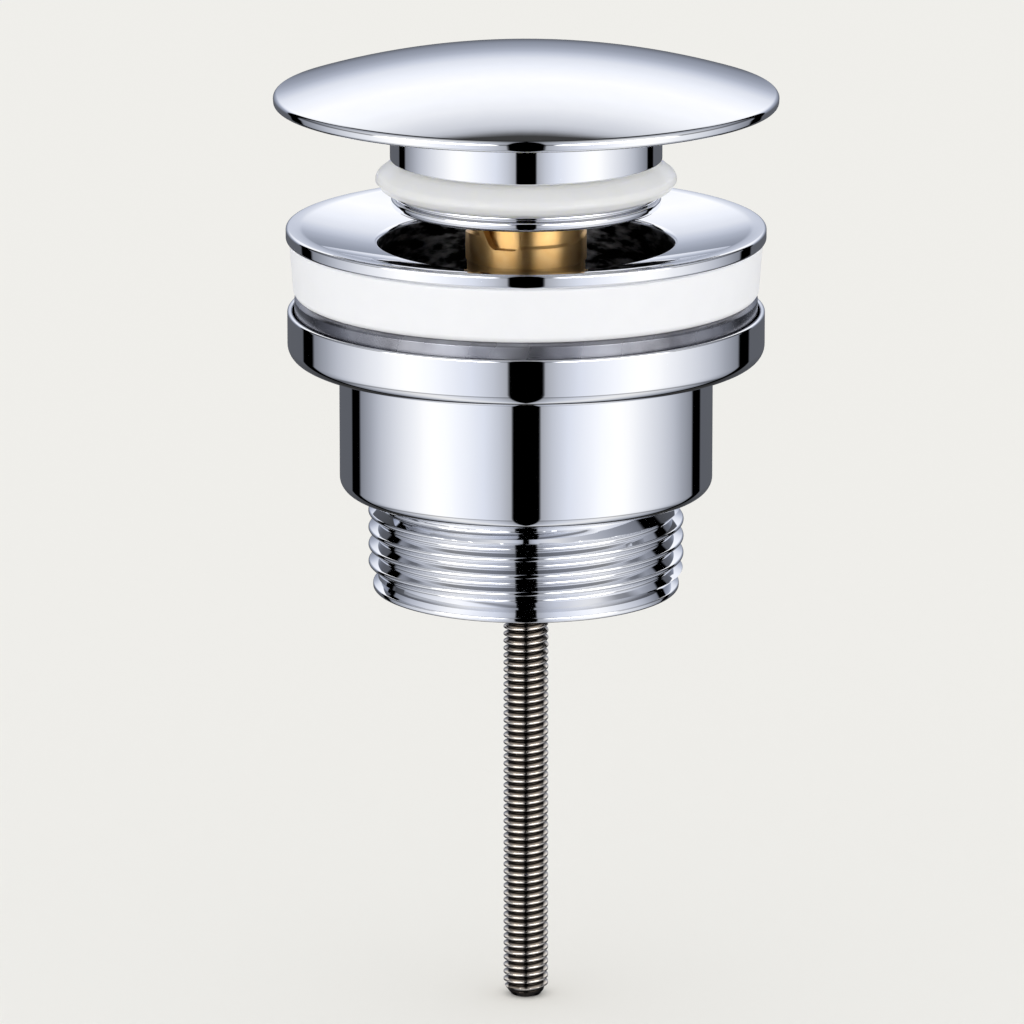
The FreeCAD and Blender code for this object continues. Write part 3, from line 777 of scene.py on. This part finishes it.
seatRing = {
    "inner": 22.7, "outer": 30.6, "wall": 1.6, "top": -7.4, "bottom": -13.85, "chamfer": 0.5,
    "webRounding": 0.4, "chamferRounding": 0.1, "boreRounding": 0.2, "smoothAngle": 50,
}
seatWeb = seatRing["top"] - seatRing["wall"]
seatRingPiece = drawOutline("seatRing", [
    (seatRing["inner"], seatRing["bottom"]),
    (seatRing["inner"] + seatRing["wall"], seatRing["bottom"]),
    (seatRing["inner"] + seatRing["wall"], seatWeb, seatRing["webRounding"]),
    (seatRing["outer"] - seatRing["wall"], seatWeb, seatRing["webRounding"]),
    (seatRing["outer"] - seatRing["wall"], seatRing["bottom"]),
    (seatRing["outer"], seatRing["bottom"]),
    (seatRing["outer"], seatRing["top"] - seatRing["chamfer"], seatRing["chamferRounding"]),
    (seatRing["outer"] - seatRing["chamfer"], seatRing["top"], seatRing["chamferRounding"]),
    (seatRing["inner"], seatRing["top"], seatRing["boreRounding"]),
])
dress(turn(seatRingPiece), "under_body", ["seat_ring"], "satin_steel", seatRing["smoothAngle"])


# Lower body: cup, barrel, threaded tail, and the bridge that the screw pulls on

lower = {
    "cupRadius": 31.55, "lipInner": 30.85, "lipLevel": -9.4, "lipRounding": 0.3, "cupFloor": -13.85,
    "cupBottom": -15.85, "cupRounding": 1.9, "barrelRadius": 24.72, "barrelBottom": -33.7,
    "barrelRounding": 1.7, "barrelFloor": -31.4, "barrelBore": 22.5, "boreRounding": 0.3,
    "floorRounding": 0.5, "relief": 19.455, "reliefEnd": -35.0, "tailBore": 17.955, "tailEnd": -47.2,
    "tailRounding": 0.4, "collarRadius": 20.35, "collarHeight": 1.2, "collarNeck": 19.3,
    "collarEdge": 0.7, "collarRounding": 0.3, "edgeRounding": 0.2,
    "bridgeHub": 6.2, "bridgeTop": -32.65, "bridgeBottom": -40.65, "bridgeHole": 3.08,
    "hubRounding": 0.6, "holeRounding": 0.3,
    "armOverlap": 0.5, "armWidth": 2.8, "armBottom": -38.9, "armHeight": 4.5,
}
tailThread = {
    "pitch": 2.309, "rootRadius": 19.476, "crestRadius": 20.955, "crestShare": 0.2, "rootShare": 0.2,
    "crestRounding": 0.34, "rootRounding": 0.32, "bottom": lower["tailEnd"] + lower["collarHeight"],
    "top": lower["reliefEnd"], "bottomRadius": lower["collarNeck"], "topRadius": lower["relief"],
    "endSlope": 0.9, "steps": roundSteps,
}
lowerPiece = drawOutline("lowerBody", [
    (lower["relief"], lower["reliefEnd"]),
    (lower["relief"], lower["barrelBottom"]),
    (lower["barrelRadius"], lower["barrelBottom"], lower["barrelRounding"]),
    (lower["barrelRadius"], lower["cupBottom"]),
    (lower["cupRadius"], lower["cupBottom"], lower["cupRounding"]),
    (lower["cupRadius"], lower["lipLevel"], lower["lipRounding"]),
    (lower["lipInner"], lower["lipLevel"], lower["lipRounding"]),
    (lower["lipInner"], lower["cupFloor"]),
    (lower["barrelBore"], lower["cupFloor"], lower["boreRounding"]),
    (lower["barrelBore"], lower["barrelFloor"], lower["floorRounding"]),
    (lower["tailBore"], lower["barrelFloor"], lower["floorRounding"]),
    (lower["tailBore"], lower["tailEnd"], lower["tailRounding"]),
    (lower["collarRadius"], lower["tailEnd"], lower["collarRounding"]),
    (lower["collarRadius"], lower["tailEnd"] + lower["collarEdge"], lower["edgeRounding"]),
    (lower["collarNeck"], lower["tailEnd"] + lower["collarHeight"]),
], closed=False)
turn(lowerPiece)
joinOpen(lowerPiece, cutThread("tailThread", tailThread))
bridgeHub = drawOutline("bridgeHub", [
    (lower["bridgeHole"], lower["bridgeBottom"], lower["holeRounding"]),
    (lower["bridgeHub"], lower["bridgeBottom"], lower["hubRounding"]),
    (lower["bridgeHub"], lower["bridgeTop"], lower["hubRounding"]),
    (lower["bridgeHole"], lower["bridgeTop"], lower["holeRounding"]),
])
turn(bridgeHub, hubSteps)
bridgeArms = armSet("bridgeArms", {
    "inner": lower["bridgeHub"] - lower["armOverlap"], "outer": lower["tailBore"] + lower["armOverlap"],
    "width": lower["armWidth"], "bottom": lower["armBottom"], "height": lower["armHeight"],
})
combine(lowerPiece, bridgeArms, "UNION")
combine(lowerPiece, bridgeHub, "UNION")
dress(lowerPiece, "under_body", ["lower_body"], "polished_chrome")


# Clamp screw: slotted cheese head and a rolled thread along the whole shank

screw = {
    "headRadius": 4.6, "headTop": -9.05, "headSeat": -11.65, "headRounding": 0.5, "seatRounding": 0.1,
    "shankRadius": 2.95, "shankEnd": -13.2, "shankTaper": 0.4, "end": -103.8,
    "slotLength": 12.0, "slotWidth": 1.2, "slotDepth": 1.3,
}
screwThread = {
    "pitch": 1.0, "rootRadius": 2.42, "crestRadius": 3.0, "crestShare": 0.22, "rootShare": 0.16,
    "crestRounding": 0.11, "rootRounding": 0.1, "bottom": screw["end"], "top": screw["shankEnd"],
    "bottomRadius": 2.0, "topRadius": 2.4, "endSlope": 1.4, "steps": 56,
}
screwPiece = drawOutline("clampScrew", [
    (screwThread["topRadius"], screw["shankEnd"]),
    (screw["shankRadius"], screw["shankEnd"] + screw["shankTaper"]),
    (screw["shankRadius"], screw["headSeat"]),
    (screw["headRadius"], screw["headSeat"], screw["seatRounding"]),
    (screw["headRadius"], screw["headTop"], screw["headRounding"]),
    (0.0, screw["headTop"]),
], closed=False)
turn(screwPiece, screwSteps)
endDisc = drawOutline("screwEnd", [
    (screwThread["bottomRadius"], screw["end"]),
    (0.0, screw["end"]),
], closed=False)
turn(endDisc, screwSteps)
joinOpen(screwPiece, cutThread("rolledThread", screwThread))
joinOpen(screwPiece, endDisc)
deselectAll()
bpy.ops.mesh.primitive_cube_add(size=1)
slotCutter = bpy.context.object
bpy.ops.object.mode_set(mode="EDIT")
bpy.ops.transform.resize(
    value=(screw["slotLength"] * mm, screw["slotWidth"] * mm, 2 * screw["slotDepth"] * mm)
)
bpy.ops.transform.translate(value=(0, 0, screw["headTop"] * mm))
bpy.ops.object.mode_set(mode="OBJECT")
combine(screwPiece, slotCutter, "DIFFERENCE")
dress(screwPiece, "screw", ["clamp_screw"], "nickel_steel")
print("lower pieces made")


# Studio: a pale floor, a plain soft light, and for shiny surfaces the panels and softboxes of a light tent

# Brightness goes by direction, as (degrees, level) with a blue cast as the third number where it has one.
# A turn is counted from the camera's side, to the right as to the left, and a rise from the horizon.
studio = {
    "background": "EEEDE9", "floorLevel": -103.9, "floorSize": 12000.0,
    "castStrength": 1.25, "greenShare": 0.45, "backStart": 135.5, "backEnd": 138.0,
    "noBounce": 0.5, "oneBounce": 1.5,  # limits that a light path's count of bounces is held against
    "byTurn": {
        "panels": (
            (0.0, 0.0), (8.2, 0.0), (9.2, 0.42, 0.05), (16.0, 0.61, 0.06), (26.0, 0.82, 0.06),
            (35.0, 0.92, 0.04), (47.0, 1.05, 0.02), (58.0, 1.1), (66.0, 1.04), (75.0, 0.92, 0.02),
            (90.0, 0.73, 0.04), (103.0, 0.55, 0.06), (112.0, 0.4, 0.07), (123.5, 0.25, 0.08),
            (125.5, 0.0), (180.0, 0.0),
        ),
        "softboxes": ((0.0, 0.0), (12.0, 0.0), (23.0, 7.5), (58.0, 7.5), (74.0, 0.0), (180.0, 0.0)),
    },
    "byRise": {
        "panels": (
            (-90.0, 0.7), (-60.0, 0.8), (-41.0, 0.8), (-37.0, 0.4), (-34.0, 0.4), (-29.0, 1.0),
            (-6.0, 1.0), (3.0, 0.75), (8.0, 0.25), (16.0, 0.3), (24.0, 0.8), (50.0, 0.8), (70.0, 0.4),
            (90.0, 0.2),
        ),
        "softboxes": ((-90.0, 0.0), (-3.0, 0.0), (1.0, 1.0), (14.0, 1.0), (20.0, 0.0), (90.0, 0.0)),
        "back": (
            (-90.0, 0.7), (-84.0, 0.06), (-40.0, 0.03), (-24.0, 0.09, 0.06), (-11.0, 0.125, 0.08),
            (-5.0, 0.17, 0.1), (0.5, 0.3, 0.12), (5.3, 0.38, 0.11), (9.1, 0.5, 0.1), (12.2, 0.67, 0.08),
            (15.0, 0.82, 0.05), (19.8, 0.96, 0.04), (25.8, 1.06), (33.0, 1.02, 0.02), (37.3, 0.92, 0.02),
            (40.1, 0.8, 0.03), (42.9, 0.67, 0.04), (44.6, 0.5, 0.05), (46.2, 0.05), (90.0, 0.01),
        ),
        "plain": (
            (-90.0, 1.2), (0.0, 1.35), (12.0, 1.45), (28.0, 1.2), (40.0, 0.95), (60.0, 0.86), (90.0, 0.8),
        ),
    },
}


def greyStops(stops, lowest):
    # a ramp's stops from brightness by degrees, over the half turn that begins at the lowest angle
    greys = []
    for degrees, level, *blue in stops:
        cast = studio["castStrength"] * sum(blue)
        colour = (level * (1 - cast), level * (1 - studio["greenShare"] * cast), level * (1 + cast), 1.0)
        greys.append(((degrees - lowest) / 180, colour))
    return greys


def makeWorld():
    world = bpy.data.worlds.new("studioTent")
    bpy.context.scene.world = world
    world.use_nodes = True
    world.cycles.sampling_method = "NONE"
    tree = world.node_tree
    tree.nodes.clear()
    direction = addNode(tree, "ShaderNodeTexCoord").outputs["Generated"]
    parts = addNode(tree, "ShaderNodeSeparateXYZ", None, {"Vector": direction})
    forward = addNode(tree, "ShaderNodeMath", {"operation": "MULTIPLY"}, {0: parts.outputs["Y"], 1: -1.0})
    around = addNode(
        tree, "ShaderNodeMath", {"operation": "ARCTAN2"}, {0: parts.outputs["X"], 1: forward.outputs[0]}
    )
    side = addNode(tree, "ShaderNodeMath", {"operation": "ABSOLUTE"}, {0: around.outputs[0]})
    azimuth = addNode(
        tree, "ShaderNodeMath", {"operation": "DIVIDE"}, {0: side.outputs[0], 1: math.pi}
    ).outputs[0]
    rise = addNode(tree, "ShaderNodeMath", {"operation": "ARCSINE"}, {0: parts.outputs["Z"]})
    elevation = addNode(
        tree, "ShaderNodeMapRange", None,
        {"Value": rise.outputs[0], "From Min": -math.pi / 2, "From Max": math.pi / 2},
    ).outputs["Result"]
    ramps = {}
    for kind, value, lowest in (("byTurn", azimuth, 0), ("byRise", elevation, -90)):
        for name, stops in studio[kind].items():
            ramp = addNode(tree, "ShaderNodeValToRGB", {"stops": greyStops(stops, lowest)}, {"Fac": value})
            ramps[kind, name] = ramp.outputs["Color"]

    # the softboxes stay out of the glare from groove to groove of the threads
    path = addNode(tree, "ShaderNodeLightPath")
    direct = addNode(
        tree, "ShaderNodeMath", {"operation": "LESS_THAN"},
        {0: path.outputs["Glossy Depth"], 1: studio["oneBounce"]},
    )
    softboxes = addNode(
        tree, "ShaderNodeVectorMath", {"operation": "MULTIPLY"},
        {0: ramps["byTurn", "softboxes"], 1: ramps["byRise", "softboxes"]},
    )
    lamps = addNode(
        tree, "ShaderNodeVectorMath", {"operation": "SCALE"},
        {0: softboxes.outputs["Vector"], "Scale": direct.outputs[0]},
    )
    sides = addNode(tree, "ShaderNodeVectorMath", {"operation": "MULTIPLY_ADD"}, {
        0: ramps["byTurn", "panels"], 1: ramps["byRise", "panels"], 2: lamps.outputs["Vector"],
    })
    behind = addNode(tree, "ShaderNodeMapRange", {"interpolation_type": "SMOOTHSTEP"}, {
        "Value": azimuth, "From Min": studio["backStart"] / 180, "From Max": studio["backEnd"] / 180,
    })
    tent = addNode(tree, "ShaderNodeMix", {"data_type": "RGBA"}, {
        "Factor": behind.outputs["Result"], mixFirst: sides.outputs["Vector"],
        mixSecond: ramps["byRise", "back"],
    })

    # a pale surface is lit by the plain light, also by way of the metal beside it
    fresh = addNode(
        tree, "ShaderNodeMath", {"operation": "LESS_THAN"},
        {0: path.outputs["Diffuse Depth"], 1: studio["noBounce"]},
    )
    mirrored = addNode(
        tree, "ShaderNodeMath", {"operation": "MULTIPLY"},
        {0: path.outputs["Is Glossy Ray"], 1: fresh.outputs[0]},
    )
    lit = addNode(tree, "ShaderNodeMix", {"data_type": "RGBA"}, {
        "Factor": mirrored.outputs[0], mixFirst: ramps["byRise", "plain"],
        mixSecond: tent.outputs[mixResult],
    })
    seen = addNode(tree, "ShaderNodeMix", {"data_type": "RGBA"}, {
        "Factor": path.outputs["Is Camera Ray"], mixFirst: lit.outputs[mixResult],
        mixSecond: linearColour(studio["background"]),
    })
    background = addNode(tree, "ShaderNodeBackground", None, {"Color": seen.outputs[mixResult]})
    addNode(tree, "ShaderNodeOutputWorld", None, {"Surface": background.outputs[0]})


makeWorld()
deselectAll()
floorPlace = (0, 0, studio["floorLevel"] * mm)
bpy.ops.mesh.primitive_plane_add(size=studio["floorSize"] * mm, location=floorPlace)
floor = bpy.context.object
floor.name = "studioFloor"
floor.data.materials.append(newMaterial("paintedBoard", {
    "Base Color": linearColour(studio["background"]), "Roughness": 1.0, "Specular IOR Level": 0.0,
}))
floor.visible_glossy = False

lens = {
    "place": (-1.86, -1091.55, 230.96), "tilt": 76.2, "focal": 297.3, "sensor": 36.0,
    "clipStart": 10.0, "clipEnd": 50000.0,
}
cameraData = bpy.data.cameras.new("photoCamera")
cameraData.lens = lens["focal"]
cameraData.sensor_width = lens["sensor"]
cameraData.clip_start = lens["clipStart"] * mm
cameraData.clip_end = lens["clipEnd"] * mm
camera = bpy.data.objects.new("photoCamera", cameraData)
camera.location = Vector(lens["place"]) * mm
camera.rotation_euler = (math.radians(lens["tilt"]), 0, 0)
bpy.context.scene.collection.objects.link(camera)
bpy.context.scene.camera = camera
bpy.context.scene.view_settings.view_transform = "Standard"
print("studio and camera set")
